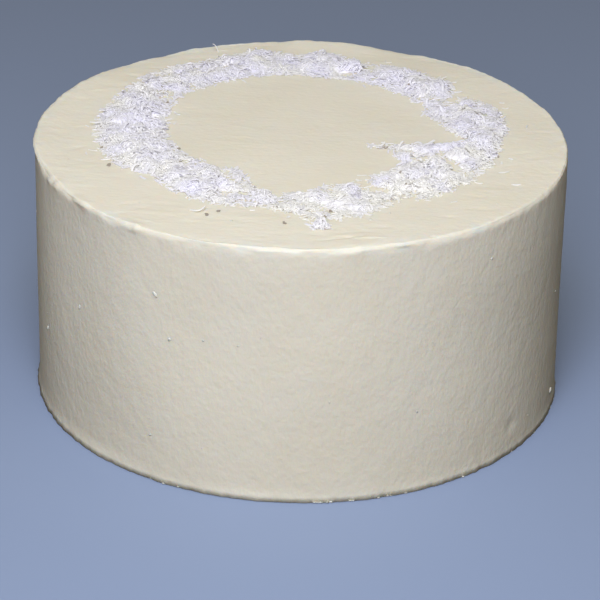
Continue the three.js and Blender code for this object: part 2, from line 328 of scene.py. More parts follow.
relief = on_side * side_relief + at_rim * rim_relief
points += normals * relief[:, None]
points[:, 2] += on_top * (top_relief(x, y) + ridge_rise) + rise - moved_down
points[:, :2] *= (1 + (lip - moved_in) / np.maximum(radius, MM))[:, None]
frayed = 0.10 * MM * swell(points, 9 * MM, 12) + 0.12 * MM * swell(points, 3.2 * MM, 13)
points[:, :2] *= (1 + at_foot * frayed / DRUM_RADIUS)[:, None]
points[:, 2] = np.maximum(points[:, 2], 0)
drum.data.vertices.foreach_set("co", points.ravel())
drum.data.update()
# The pale share: icing smeared thin, and a painted highlight along the front rim and its ridges.
streaky = np.clip(0.6 + 0.5 * swell(points, 5 * MM, 15), 0, 1)
pale_and_highlight = smear_and_highlight * streaky + ridge_pale_and_highlight
drum.data.attributes.new("pale_and_highlight", "FLOAT", "POINT").data.foreach_set("value", pale_and_highlight.clip(0, 1))


def linear(code):
    """A colour's linear values from its sRGB hex code."""
    channels = [int(code[i : i + 2], 16) / 255 for i in (1, 3, 5)]
    return (*(c / 12.92 if c <= 0.04045 else ((c + 0.055) / 1.055) ** 2.4 for c in channels), 1)


def add_node(material, kind, inputs={}, **settings):
    """Adds a node with its settings. An input is a value, or another node's output that is linked to it."""
    node = material.node_tree.nodes.new(kind)
    for name, value in settings.items():
        setattr(node, name, value)
    for name, value in inputs.items():
        if isinstance(value, bpy.types.NodeSocket):
            material.node_tree.links.new(value, node.inputs[name])
        else:
            node.inputs[name].default_value = value
    return node


def new_material(name):
    """A new material with nothing but its output."""
    material = bpy.data.materials.new(name)
    material.use_nodes = True
    tree = material.node_tree
    tree.nodes.remove(tree.nodes["Principled BSDF"])
    return material, tree.nodes["Material Output"].inputs["Surface"]


# Scraped buttercream: soft, matte and a little translucent, pale cream with faint yellower patches, whiter
# where it was smeared thin, and with the fine grain that the scraper and the knife drag along their strokes.
# The whiter colour along the front rim and its ridges is also a painted highlight.
CREAM = "#ece6d4"
CREAM_DEEP = "#eae3cf"
CREAM_PALE_AND_HIGHLIGHT = "#e3e4da"
PATCH_SIZE = 32 * MM
GRAIN_SIZE = 1.7 * MM
GRAIN_STRETCH = {"side": (1, 1, 0.75), "top": (0.6, 1, 1)}
GRAIN_DEPTH = {"side": 0.21 * MM, "top": 0.18 * MM}
GRAIN_BLEND = (2.5 * MM, 1 * MM)  # below the top, where the side's grain gives way to the top's
buttercream, surface = new_material("scraped_buttercream")
place = add_node(buttercream, "ShaderNodeTexCoord").outputs["Object"]
patches = add_node(
    buttercream, "ShaderNodeTexNoise", {"Vector": place, "Scale": 1 / PATCH_SIZE, "Detail": 3}
)
patch_share = add_node(
    buttercream,
    "ShaderNodeMapRange",
    {"Value": patches.outputs["Fac"], "From Min": 0.35, "From Max": 0.65},
)
colour = add_node(
    buttercream,
    "ShaderNodeMix",
    {0: patch_share.outputs[0], 6: linear(CREAM), 7: linear(CREAM_DEEP)},
    data_type="RGBA",
)
# Mixes in the whiter cream: icing smeared thin, and a painted highlight along the front rim.
pale_and_highlight_share = add_node(buttercream, "ShaderNodeAttribute", attribute_name="pale_and_highlight").outputs["Fac"]
colour = add_node(
    buttercream,
    "ShaderNodeMix",
    {0: pale_and_highlight_share, 6: colour.outputs[2], 7: linear(CREAM_PALE_AND_HIGHLIGHT)},
    data_type="RGBA",
)
grains = {}
for face, stretch in GRAIN_STRETCH.items():
    scale = [share / GRAIN_SIZE for share in stretch]
    way = add_node(buttercream, "ShaderNodeMapping", {"Vector": place, "Scale": scale})
    grain = add_node(buttercream, "ShaderNodeTexNoise", {"Vector": way.outputs[0], "Scale": 1, "Detail": 2})
    grains[face] = add_node(
        buttercream, "ShaderNodeMath", {0: grain.outputs["Fac"], 1: GRAIN_DEPTH[face]}, operation="MULTIPLY"
    ).outputs[0]
level = add_node(buttercream, "ShaderNodeSeparateXYZ", {"Vector": place}).outputs["Z"]
top_share = add_node(
    buttercream,
    "ShaderNodeMapRange",
    {"Value": level, "From Min": DRUM_HEIGHT - GRAIN_BLEND[0], "From Max": DRUM_HEIGHT - GRAIN_BLEND[1]},
)
grain_height = add_node(
    buttercream,
    "ShaderNodeMix",
    {0: top_share.outputs[0], 2: grains["side"], 3: grains["top"]},
    data_type="FLOAT",
)
bump = add_node(
    buttercream, "ShaderNodeBump", {"Height": grain_height.outputs[0], "Distance": 1, "Strength": 1}
)
cream = add_node(
    buttercream,
    "ShaderNodeBsdfPrincipled",
    {
        "Base Color": colour.outputs[2],
        "Roughness": 0.5,
        "IOR": 1.46,
        "Specular IOR Level": 0.25,
        "Subsurface Weight": 0.45,
        "Subsurface Radius": (3.0 * MM, 2.2 * MM, 1.4 * MM),
        "Subsurface Scale": 1,
        "Normal": bump.outputs[0],
    },
)
buttercream.node_tree.links.new(cream.outputs[0], surface)
drum.data.materials.append(buttercream)
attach(drum, "root")
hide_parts("iced_cake")

# The crumbs of icing
# Specks of buttercream that the scraper and the knife left: single ones on the side and the top, and a few
# pressed out at the foot. Each is a small flattened lump, half sunk in the icing.
# The ones that show most: bearing in degrees, height in mm, length, width, heading in degrees and rise.
SIDE_CRUMBS = [
    (240, 77, 2.8, 1.1, -50, 0.6),
    (243.5, 59.5, 1.4, 1.1, 0, 0.4),
    (218, 57, 2.0, 1.0, 80, 0.4),
    (203, 37, 2.0, 1.0, 80, 0.5),
    (344, 8, 2.6, 2.2, 90, 0.6),
]
# The rest are drawn at random: how many, from and to which bearing and height, and how long the longest is.
CRUMB_GROUPS = [
    (30, 0, 360, 4, 96, 1.2),
    (12, 274, 290, 0.2, 1.0, 2.2),
    (24, 0, 360, 0.2, 0.8, 1.6),
]
TOP_CRUMBS = 16
TOP_CRUMB_REACH = 96 * MM
TOP_CRUMB_LENGTH = (0.5, 1.3)
crumbs = list(SIDE_CRUMBS)
draw = np.random.default_rng(16)
for count, first, last, low, high, longest in CRUMB_GROUPS:
    for _ in range(count):
        length = longest * draw.uniform(0.4, 1)
        spot = (draw.uniform(first, last), draw.uniform(low, high))
        crumbs.append((*spot, length, length * draw.uniform(0.5, 0.9), draw.uniform(0, 180), 0.2 * length))
spots = []
for crumb_bearing, height, *_ in crumbs:
    turn = math.radians(crumb_bearing)
    spots.append((DRUM_RADIUS * math.cos(turn), DRUM_RADIUS * math.sin(turn), height * MM))
for _ in range(TOP_CRUMBS):
    reach, turn = TOP_CRUMB_REACH * math.sqrt(draw.uniform()), draw.uniform(0, 2 * math.pi)
    length = draw.uniform(*TOP_CRUMB_LENGTH)
    crumbs.append((0, 0, length, length * draw.uniform(0.5, 0.9), draw.uniform(0, 180), 0.25 * length))
    spots.append((reach * math.cos(turn), reach * math.sin(turn), DRUM_HEIGHT))

# Each lump sits at the nearest point of the icing and lies along it.
bpy.ops.mesh.primitive_ico_sphere_add(subdivisions=2, radius=1)
lump = bpy.context.object
lump_points = read(lump.data.vertices, "co")
lump_faces = np.array([face.vertices[:] for face in lump.data.polygons])
bpy.ops.object.delete()
normals = read(drum.data.vertices, "normal")
crumb_points = []
for spot, (_, _, length, width, heading, rise) in zip(spots, crumbs):
    nearest = np.argmin(((points - spot) ** 2).sum(axis=1))
    out = Vector(normals[nearest])
    across = out.orthogonal().normalized() if abs(out.z) > 0.9 else Vector((0, 0, 1)).cross(out).normalized()
    turned = Matrix.Rotation(math.radians(heading), 3, "Z")
    frame = Matrix((across, out.cross(across), out)).transposed() @ turned
    sizes = np.array([length / 2, width / 2, rise]) * MM
    uneven = 1 + draw.normal(0, 0.12, (len(lump_points), 1))
    crumb_points.append(points[nearest] + (lump_points * uneven * sizes) @ np.array(frame).T)
crumb_points = np.maximum(np.concatenate(crumb_points), [-1, -1, 0])
crumb_faces = [lump_faces + len(lump_points) * i for i in range(len(crumbs))]
mesh = bpy.data.meshes.new("icing_crumbs")
mesh.from_pydata(crumb_points, [], np.concatenate(crumb_faces))
mesh.shade_smooth()
mesh.attributes.new("pale_and_highlight", "FLOAT", "POINT").data.foreach_set("value", np.full(len(mesh.vertices), 0.2))
mesh.materials.append(buttercream)
icing_crumbs = bpy.data.objects.new("icing_crumbs", mesh)
bpy.context.collection.objects.link(icing_crumbs)
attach(icing_crumbs, "root")

# The bed of the wreath
# Fine crumbs of coconut that fell through the longer shreds: a low uneven ring on the icing, which shows
# only where the shreds above it leave gaps.
WREATH_SETBACK = 6.5 * MM
WREATH_INNER = 54.5 * MM
WREATH_OUTER = 78 * MM
EDGE_WAVE = 1.2 * MM
# Where the wreath leaves its ring: bearing and spread in degrees, then the change of its inner and outer
# radius in mm and of its depth as a share.
WREATH_FEATURES = [
    (-26, 9, -25, -2, -0.03),
    (-7, 7, 10, -2, -0.16),
    (21, 8, -4, 2, 0),
    (31, 6, 0, -8, -0.45),
    (54, 12, 0, 0, -0.25),
    (71, 5, 0, -4, -0.2),
    (83, 6, 0, 3, 0.35),
    (85, 35, 2, 0, 0),
    (103, 5, 0, 4, 0.32),
    (133, 26, 2, 4, -0.22),
    (148, 7, 1, 0, -0.12),
    (185, 25, -2, 0, 0.15),
    (205, 10, -2, -2, 0),
    (221, 7, -2, -6, -0.35),
    (238, 10, -8, -2, 0),
    (260, 10, 7, -5, -0.36),
    (262, 45, -2.5, 0, -0.04),
    (271, 5, 4, 0, 0),
    (279, 9, 0, 4, -0.12),
    (300, 7, -3, -6, -0.35),
    (315, 8, -3, 0, -0.13),
]
CLUMP_SIZE = 10 * MM
SPILL_REACH = 18 * MM  # what lies this far inside the ring has fallen off it
SPILL_DEPTH = 0.5  # and lies this thinly
DEPTH_LIMITS = (0.05, 1.15)  # of the wreath, as shares of its usual depth
BED_HEIGHT = 4.4 * MM
BED_BARE = 0.40  # where the depth is less than this, the icing under the bed is bare
BED_MARGIN = 0.09  # how far the bed stays inside the wreath's edges, as a share of its width
BED_SUNK = 0.5 * MM  # how deep its underside lies in the icing
BED_GAP = 0.05 * MM  # between the bed and the shreds that rest on it
BED_STEPS = 400
BED_BANDS = 26


def ragged(angle, slow, middling, quick):
    """A ragged line round the ring, from -1 to 1."""
    return 0.4 * np.sin(slow * angle + 1) + 0.35 * np.sin(middling * angle) + 0.25 * np.sin(quick * angle)


def wreath_feature(angle, column):
    """The sum of one kind of change round the ring."""
    return sum(row[column] * bump_at(angle, row[0], row[1]) for row in WREATH_FEATURES)


def wreath_edges(angle):
    """The wreath's inner and outer radius about its own centre."""
    inner = WREATH_INNER + EDGE_WAVE * ragged(angle, 3, 8, 29) + wreath_feature(angle, 2) * MM
    return inner, WREATH_OUTER + EDGE_WAVE * ragged(angle, 4, 11, 37) + wreath_feature(angle, 3) * MM


def wreath_place(angle, across):
    """The place on the cake of a point that lies a share of the way across the ring, from its inner edge."""
    inner, outer = wreath_edges(angle)
    reach = inner + (outer - inner) * across
    return reach * np.cos(angle), reach * np.sin(angle) + WREATH_SETBACK


def wreath_depth(x, y):
    """How thickly the coconut lies at a place on the ring, as a share of its usual depth."""
    spots = np.column_stack([x, y, np.zeros_like(x)])
    clumps = 0.75 + 0.28 * swell(spots, CLUMP_SIZE, 20) + 0.12 * swell(spots, CLUMP_SIZE / 2, 23)
    reach = np.hypot(x, y - WREATH_SETBACK)
    spilled = (1 - SPILL_DEPTH) * (1 - soft_step(reach, WREATH_INNER - SPILL_REACH, WREATH_INNER))
    depth = clumps + wreath_feature(np.arctan2(y - WREATH_SETBACK, x), 4) - spilled
    return np.clip(depth, *DEPTH_LIMITS)


def bed_rise(x, y):
    """How high the crumbs lie over the icing at a place on the top."""
    angle = np.arctan2(y - WREATH_SETBACK, x)
    inner, outer = wreath_edges(angle)
    across = (np.hypot(x, y - WREATH_SETBACK) - inner) / (outer - inner)
    within = (across - BED_MARGIN) / (1 - 2 * BED_MARGIN)
    dome = np.clip(1 - (2 * within - 1) ** 2, 0, 1) ** 0.7
    spots = np.column_stack([x, y, np.zeros_like(x)])
    crumbs = 1 + 0.05 * swell(spots, 2.5 * MM, 21)
    return BED_HEIGHT * dome * crumbs * (wreath_depth(x, y) - BED_BARE)


bands = np.linspace(0, 1, BED_BANDS + 1)
bed_radii = np.concatenate([1 + bands, [1.7, 1.3]])
bed_levels = np.concatenate([np.ones(BED_BANDS + 1), [0, 0]])
bed = spun_piece("coconut_bed", bed_radii, bed_levels, BED_STEPS, closed=True)
unit = read(bed.data.vertices, "co")
bed_angle = np.arctan2(unit[:, 1], unit[:, 0])
bed_across = np.hypot(unit[:, 0], unit[:, 1]) - 1
bed_x, bed_y = wreath_place(bed_angle, BED_MARGIN + (1 - 2 * BED_MARGIN) * bed_across)
bed_top = np.where(unit[:, 2] > 0.5, bed_rise(bed_x, bed_y) - BED_GAP, -BED_SUNK)
bed_z = DRUM_HEIGHT + top_relief(bed_x, bed_y) + bed_top
bed.data.vertices.foreach_set("co", np.column_stack([bed_x, bed_y, bed_z]).ravel())
bed.data.update()

# How warm the coconut's white is, from 0 to 1, and what changes it.
WARMTH = 0.32
WARMTH_FRONT = 0.36
FRONT_BEARING = 292
FRONT_SPREAD = 35
# At the outer edge the coconut is warmer and brighter: painted warm light bounced off the icing.
WARMTH_EDGE_BOUNCE = 0.25
WARMTH_FAR = -0.14
WARMTH_CLUMPS = 0.24
WARMTH_CLUMP_SIZE = 11 * MM


def warmth_at(x, y):
    """How warm the coconut's white is at a place: more in front, in some clumps, and at the outer edge as a
    painted warm bounce off the icing.
    """
    angle = np.arctan2(y - WREATH_SETBACK, x)
    inner, outer = wreath_edges(angle)
    edge_bounce = soft_step((np.hypot(x, y - WREATH_SETBACK) - inner) / (outer - inner), 0.7, 1)
    clumps = swell(np.column_stack([x, y, np.zeros_like(x)]), WARMTH_CLUMP_SIZE, 22)
    far = soft_step(y, -20 * MM, 50 * MM)
    warmth = WARMTH + WARMTH_FRONT * bump_at(angle, FRONT_BEARING, FRONT_SPREAD)
    return warmth + WARMTH_EDGE_BOUNCE * edge_bounce + WARMTH_FAR * far + WARMTH_CLUMPS * clumps


bed_warmth = warmth_at(bed_x, bed_y).clip(0, 1)
bed.data.attributes.new("warmth", "FLOAT", "POINT").data.foreach_set("value", bed_warmth)

# Dried coconut: matte and a little translucent, white with a lilac cast in some clumps and a warm one in
# others, and with fine fibres. The lilac cast is painted cool light from the blue-grey surroundings on a
# white coconut.
# The cool colour's lilac tint is painted light: cool light off the surroundings.
COCONUT_COOL_LIGHT_TINT = "#f6f3fd"
COCONUT_WARM = "#fffcf3"
FIBRE_SIZE = 0.5 * MM
FIBRE_DEPTH = 0.015 * MM
coconut, surface = new_material("dried_coconut")
place = add_node(coconut, "ShaderNodeTexCoord").outputs["Object"]
warmth = add_node(coconut, "ShaderNodeAttribute", attribute_name="warmth").outputs["Fac"]
flesh = add_node(
    coconut,
    "ShaderNodeMix",
    {0: warmth, 6: linear(COCONUT_COOL_LIGHT_TINT), 7: linear(COCONUT_WARM)},
    data_type="RGBA",
)
fibre = add_node(coconut, "ShaderNodeTexNoise", {"Vector": place, "Scale": 1 / FIBRE_SIZE, "Detail": 2})
fibre_height = add_node(
    coconut, "ShaderNodeMath", {0: fibre.outputs["Fac"], 1: FIBRE_DEPTH}, operation="MULTIPLY"
)
fibre_bump = add_node(
    coconut, "ShaderNodeBump", {"Height": fibre_height.outputs[0], "Distance": 1, "Strength": 1}
)
flake = add_node(
    coconut,
    "ShaderNodeBsdfPrincipled",
    {
        "Base Color": flesh.outputs[2],
        "Roughness": 0.6,
        "IOR": 1.45,
        "Specular IOR Level": 0.3,
        "Subsurface Weight": 0.5,
        "Subsurface Radius": (0.8 * MM, 0.8 * MM, 0.85 * MM),
        "Subsurface Scale": 1,
        "Normal": fibre_bump.outputs[0],
    },
)
coconut.node_tree.links.new(flake.outputs[0], surface)
bed.data.materials.append(coconut)
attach(bed, "root")

# The shreds and bits of the wreath
# Coconut cut into short thin strips and dried, so that each is bent and twisted its own way, with as many
# short broken bits. They are sprinkled by hand: each falls on what lies there and sags between the bumps.
SHRED_COUNT = 11000
SHRED_LENGTH = 2.6 * MM  # half of them are shorter than this
SHRED_LENGTH_SPREAD = 0.38
SHRED_LENGTH_LIMITS = (1.2 * MM, 6.5 * MM)
SHRED_WIDTH = (0.55 * MM, 1.2 * MM)
SHRED_THICKNESS = (0.20 * MM, 0.34 * MM)
SHRED_STIFFNESS = 0.2  # 0 follows every bump under it, 1 stays straight
SHRED_NESTING = 0.22  # how much of its thickness a shred adds to the heap, as each beds in between others
SHRED_CROWDING = 1.3  # 1 spreads them evenly across the wreath, and more crowds them along its middle
SHRED_RAISED = 0.04  # the share of the shreds with an end that sticks up
SHRED_ROLL = 0.085  # radians, how far a shred lies over on its side
SHRED_TWIST = 0.13  # radians from its middle to its end
BIT_LENGTH = 2.6 * MM  # what is shorter than this is a bit, nearly straight
STATIONS = 4  # the points along a shred where it rests on what is under it
CELL = 0.4 * MM
FIELD = 102 * MM  # half the side of the square that the shreds fall on

cells = np.arange(-FIELD, FIELD, CELL)
field_x, field_y = (side.ravel() for side in np.meshgrid(cells, cells, indexing="ij"))
ground = DRUM_HEIGHT + top_relief(field_x, field_y) + np.maximum(bed_rise(field_x, field_y), 0)
ground = ground.reshape(len(cells), len(cells))


def cell_of(x, y):
    """The rows and the columns of the cells that hold the given places."""
    return tuple(np.clip(((side + FIELD) / CELL).astype(int), 0, len(cells) - 1) for side in (x, y))


def drop_shreds(draw, x, y, length, width, nesting=SHRED_NESTING):
    """Lets shreds fall one by one at the given places. Returns how each comes to rest, with its size."""
    count = len(x)
    thickness = draw.uniform(*SHRED_THICKNESS, count)
    heading = draw.uniform(0, 2 * math.pi, count)
    heights = np.empty((count, STATIONS))
    stations = np.linspace(-0.5, 0.5, STATIONS)
    close = np.linspace(-0.5, 0.5, 15)
    sides = np.linspace(-0.5, 0.5, 3)[:, None]
    for i in range(count):
        cos, sin = math.cos(heading[i]), math.sin(heading[i])
        along, beside = stations * length[i], sides * width[i]
        under = cell_of(x[i] + along * cos - beside * sin, y[i] + along * sin + beside * cos)
        found = ground[under].mean(axis=0)
        line = found.mean() + stations * (stations @ found) / (stations @ stations)
        line += (found - line).max()
        heights[i] = found + SHRED_STIFFNESS * (line - found)
        along = close * length[i]
        under = cell_of(x[i] + along * cos - beside * sin, y[i] + along * sin + beside * cos)
        covered = np.interp(close, stations, heights[i]) + nesting * thickness[i]
        np.maximum.at(ground, under, np.broadcast_to(covered, under[0].shape))
    # On a slope a shred covers less ground than its length.
    flat = 1 / np.sqrt(1 + ((heights[:, -1] - heights[:, 0]) / length) ** 2)
    middle = heights.mean(axis=1)[:, None]
    return {
        "place": np.column_stack([x, y]),
        "heights": middle + (heights - middle) * flat[:, None] + thickness[:, None] / 2,
        "heading": heading,
        "length": length * flat,
        "width": width,
        "thickness": thickness,
        "bow": length * draw.normal(0, 0.12, count),
        "curl": length * draw.normal(0.02, 0.03, count),
        "lift": length * draw.uniform(0.15, 0.4, count) * (draw.uniform(0, 1, count) < SHRED_RAISED),
    }


def shred_piece(name, draw, shreds, sections, material, warmer=0):
    """One mesh of many shreds: each a strip of cross-sections, tapered, bent and twisted its own way."""
    count = len(shreds["length"])
    share = np.linspace(-1, 1, sections)
    heading = shreds["heading"][:, None]
    reach = share * shreds["length"][:, None] / 2
    bow = share**2 * shreds["bow"][:, None]
    # A curl above 0 turns a shred's ends up, and one below 0 arches its middle. One end lifts.
    curl = shreds["curl"][:, None]
    spot = (share + 1) / 2 * (STATIONS - 1)
    before = np.minimum(spot.astype(int), STATIONS - 2)
    part = spot - before
    heights = shreds["heights"][:, before] * (1 - part) + shreds["heights"][:, before + 1] * part
    heights += np.where(curl > 0, curl * share**2, -curl * (1 - share**2))
    heights += shreds["lift"][:, None] * (1 - ((1 - share) / 2) ** 2)
    middle = np.stack(
        [
            shreds["place"][:, :1] + reach * np.cos(heading) - bow * np.sin(heading),
            shreds["place"][:, 1:] + reach * np.sin(heading) + bow * np.cos(heading),
            heights,
        ],
        axis=2,
    )
    ahead = np.gradient(middle, axis=1)
    ahead /= np.linalg.norm(ahead, axis=2)[..., None]
    aside = np.cross([0, 0, 1], ahead)
    aside /= np.linalg.norm(aside, axis=2)[..., None]
    above = np.cross(ahead, aside)
    tilt = draw.normal(0, SHRED_ROLL, count)[:, None]
    roll = (tilt + share * draw.normal(0, SHRED_TWIST, count)[:, None])[..., None]
    flat_way = np.cos(roll) * aside + np.sin(roll) * above
    thick_way = np.cos(roll) * above - np.sin(roll) * aside
    taper = draw.uniform(0.8, 1.15, (count, sections))
    taper[:, [0, -1]] *= draw.uniform(0.45, 0.95, (count, 2))
    half_width = (taper * shreds["width"][:, None] / 2)[..., None] * flat_way
    half_depth = (np.sqrt(taper) * shreds["thickness"][:, None] / 2)[..., None] * thick_way
    corners = [(-1, -1), (1, -1), (1, 1), (-1, 1)]
    ring = np.stack([middle + i * half_width + j * half_depth for i, j in corners], axis=2)
    around = [(k, (k + 1) % 4) for k in range(4)]
    starts = 4 * np.arange(sections - 1)
    strip = [(s + a, s + b, s + 4 + b, s + 4 + a) for s in starts for a, b in around]
    end = 4 * sections - 4
    faces = np.array([(3, 2, 1, 0), (end, end + 1, end + 2, end + 3), *strip])
    faces = (faces[None] + 4 * sections * np.arange(count)[:, None, None]).reshape(-1, 4)
    mesh = bpy.data.meshes.new(name)
    mesh.from_pydata(ring.reshape(-1, 3), [], faces)
    mesh.shade_smooth()
    mesh.set_sharp_from_angle(angle=math.radians(50))
    warmth = np.clip(warmth_at(*shreds["place"].T) + warmer + draw.normal(0, 0.12, count), 0, 1)
    warmth = np.repeat(warmth, 4 * sections)
    mesh.attributes.new("warmth", "FLOAT", "POINT").data.foreach_set("value", warmth)
    mesh.materials.append(material)
    piece = bpy.data.objects.new(name, mesh)
    bpy.context.collection.objects.link(piece)
    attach(piece, "root")
    return piece


draw = np.random.default_rng(31)
spread_angle = draw.uniform(0, 2 * math.pi, 3 * SHRED_COUNT)
spread_across = draw.beta(SHRED_CROWDING, SHRED_CROWDING, 3 * SHRED_COUNT) * 1.04 - 0.02
spread_x, spread_y = wreath_place(spread_angle, spread_across)
kept = draw.uniform(0, 1, 3 * SHRED_COUNT) < wreath_depth(spread_x, spread_y)
length = draw.lognormal(math.log(SHRED_LENGTH), SHRED_LENGTH_SPREAD, SHRED_COUNT)
length = length.clip(*SHRED_LENGTH_LIMITS)
width = draw.uniform(*SHRED_WIDTH, SHRED_COUNT)
heap = drop_shreds(draw, spread_x[kept][:SHRED_COUNT], spread_y[kept][:SHRED_COUNT], length, width)
bits = heap["length"] < BIT_LENGTH
longer = {key: values[~bits] for key, values in heap.items()}
wreath = shred_piece("coconut_shreds", draw, longer, 4, coconut)
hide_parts("coconut_wreath")
shred_piece("coconut_bits", draw, {key: values[bits] for key, values in heap.items()}, 2, coconut)

# The curls of the wreath
# The thinnest shreds, which dried into arches and hooks. They fell last, so they stand loosely on the heap,
# most of them along its two edges.
CURL_COUNT = 200
CURL_LENGTH = (2.2 * MM, 4.0 * MM)
CURL_WIDTH = (0.4 * MM, 0.75 * MM)
CURL_CROWDING = 0.7  # less than 1 crowds them along the edges
draw = np.random.default_rng(38)
curl_angle = draw.uniform(0, 2 * math.pi, 2 * CURL_COUNT)
curl_across = draw.beta(CURL_CROWDING, CURL_CROWDING, 2 * CURL_COUNT)
curl_x, curl_y = wreath_place(curl_angle, curl_across)
kept = draw.uniform(0.1, 1, 2 * CURL_COUNT) < wreath_depth(curl_x, curl_y)
curl_x, curl_y = curl_x[kept][:CURL_COUNT], curl_y[kept][:CURL_COUNT]
length = draw.uniform(*CURL_LENGTH, len(curl_x))
curls = drop_shreds(draw, curl_x, curl_y, length, draw.uniform(*CURL_WIDTH, len(curl_x)))
curls["bow"] = length * draw.normal(0, 0.16, len(curl_x))
curls["curl"] = length * draw.normal(-0.10, 0.10, len(curl_x))
curls["lift"] = length * draw.uniform(-0.3, 0.35, len(curl_x)).clip(0)
shred_piece("coconut_curls", draw, curls, 7, coconut)

# The brown-skinned bits, and one painted shadow
# Crumbs of coconut with the nut's thin skin still on, of which every handful has a few. Most are in the
# wreath, and some fell beside it. One placed bit, beside the curled stray, is a painted shadow: a dark bit
# where there is only that stray's shade.
SKIN_COUNT = 16
SKIN_LENGTH = (0.9 * MM, 1.7 * MM)
SKIN_WIDTH = (0.6 * MM, 1.0 * MM)
SKIN_CROWDING = 0.6
# The ones that show most are larger and lie along the wreath's edges, at these places in mm.
SKIN_AND_SHADOW_PLACES = [(-75, -14), (-71, -30), (-46, -14.5), (31.5, -9.5)]
# The bit at (-33, -73) is a painted shadow beside the curled stray, not skin.
SKIN_AND_SHADOW_PLACES += [(-29, -70), (-33, -73), (-5.6, -79), (11, -68)]
SKIN_LARGER = 1.5
draw = np.random.default_rng(41)
skin_angle = draw.uniform(0, 2 * math.pi, SKIN_COUNT)
skin_across = draw.beta(SKIN_CROWDING, SKIN_CROWDING, SKIN_COUNT)
skin_and_shadow_x, skin_and_shadow_y = wreath_place(skin_angle, skin_across)
placed_x, placed_y = np.array(SKIN_AND_SHADOW_PLACES).T * MM
skin_and_shadow_x, skin_and_shadow_y = np.append(placed_x, skin_and_shadow_x), np.append(placed_y, skin_and_shadow_y)
larger = np.where(np.arange(len(skin_and_shadow_x)) < len(SKIN_AND_SHADOW_PLACES), SKIN_LARGER, 1)
length = larger * draw.uniform(*SKIN_LENGTH, len(skin_and_shadow_x))
skins_and_shadow = drop_shreds(draw, skin_and_shadow_x, skin_and_shadow_y, length, larger * draw.uniform(*SKIN_WIDTH, len(skin_and_shadow_x)))

# Coconut skin: dry, matte and mottled, greyish brown. It also colours the one bit that is a painted shadow.
SKIN_AND_SHADOW_BROWN = "#998e80"
SKIN_AND_SHADOW_PALE = "#b5ab9c"
MOTTLE_SIZE = 0.7 * MM
coconut_skin_and_shadow, surface = new_material("coconut_skin_and_shadow")
place = add_node(coconut_skin_and_shadow, "ShaderNodeTexCoord").outputs["Object"]
mottle = add_node(
    coconut_skin_and_shadow, "ShaderNodeTexNoise", {"Vector": place, "Scale": 1 / MOTTLE_SIZE, "Detail": 2}
)
brown = add_node(
    coconut_skin_and_shadow,
    "ShaderNodeMix",
    {0: mottle.outputs["Fac"], 6: linear(SKIN_AND_SHADOW_BROWN), 7: linear(SKIN_AND_SHADOW_PALE)},
    data_type="RGBA",
)
bark = add_node(
    coconut_skin_and_shadow, "ShaderNodeBsdfPrincipled", {"Base Color": brown.outputs[2], "Roughness": 0.7, "IOR": 1.45}
)
coconut_skin_and_shadow.node_tree.links.new(bark.outputs[0], surface)
shred_piece("coconut_skin_and_shadow_bits", draw, skins_and_shadow, 3, coconut_skin_and_shadow)

# The stray shreds
# Shreds that missed the wreath: most lie flat beside it, one stands on end in the soft icing, and a small
# clump fell in front of it.
STRAY_COUNT = 64
STRAY_SCATTER = 2.2 * MM
STRAY_REACH = 89 * MM  # none lies farther than this from the middle of the wreath
STRAY_LENGTH_LIMITS = (1.2 * MM, 3.6 * MM)
STRAY_WIDTH = (0.45 * MM, 0.85 * MM)
STRAY_SUNK = 0.15 * MM  # how deep they lie in the soft icing
STRAY_WARMER = 0.15  # which also tints them, but not the clump
STRAY_NESTING = 1  # few lie on one another, and those lie loosely
CLUMP_PLACE = (7.3 * MM, -81 * MM)
CLUMP_COUNT = 60
CLUMP_SPREAD = 1.5 * MM
CLUMP_WARMER = -0.6
# The ones that show most: place in mm, length from above, heading in degrees, bow and lift of one end.
PLACED_STRAYS = [
    (-36, 88, 2.4, 170, 0.3, 3.4),
    (-36, -71, 5.5, 10, 2.6, 1.2),
    (30.5, -8, 4.0, 35, 1.2, 1.0),
    (33, -6, 3.5, -30, 0.8, 0.6),
    (70, -23, 5.0, -20, 0.6, 0.5),
    (75.5, -29, 4.5, 15, 0.5, 0.3),
    (79, -40, 3.5, -10, 0.4, 0.3),
]
placed = np.array(PLACED_STRAYS).T
draw = np.random.default_rng(47)
stray_angle = draw.uniform(0, 2 * math.pi, STRAY_COUNT)
stray_away = draw.exponential(STRAY_SCATTER, STRAY_COUNT) * draw.choice([-0.5, 1, 1], STRAY_COUNT)
stray_inner, stray_outer = wreath_edges(stray_angle)
stray_reach = np.where(stray_away > 0, stray_outer, stray_inner) + stray_away
stray_reach = np.minimum(stray_reach, STRAY_REACH)
clump_x, clump_y = (draw.normal(centre, CLUMP_SPREAD, CLUMP_COUNT) for centre in CLUMP_PLACE)
stray_x = np.concatenate([placed[0] * MM, stray_reach * np.cos(stray_angle), clump_x])
stray_y = np.concatenate([placed[1] * MM, stray_reach * np.sin(stray_angle) + WREATH_SETBACK, clump_y])
length = draw.lognormal(math.log(SHRED_LENGTH), SHRED_LENGTH_SPREAD, len(stray_x))
length = length.clip(*STRAY_LENGTH_LIMITS)
width = draw.uniform(*STRAY_WIDTH, len(stray_x))
strays = drop_shreds(draw, stray_x, stray_y, length, width, STRAY_NESTING)
first = slice(0, len(PLACED_STRAYS))
strays["length"][first] = placed[2] * MM
strays["heading"][first] = np.radians(placed[3])
strays["bow"][first] = placed[4] * MM
strays["lift"][first] = placed[5] * MM
strays["heights"][first] = strays["heights"][first].min(axis=1)[:, None]
strays["heights"] -= STRAY_SUNK
warmer = np.repeat([STRAY_WARMER, CLUMP_WARMER], [len(stray_x) - CLUMP_COUNT, CLUMP_COUNT])
shred_piece("stray_shreds", draw, strays, 7, coconut, warmer)

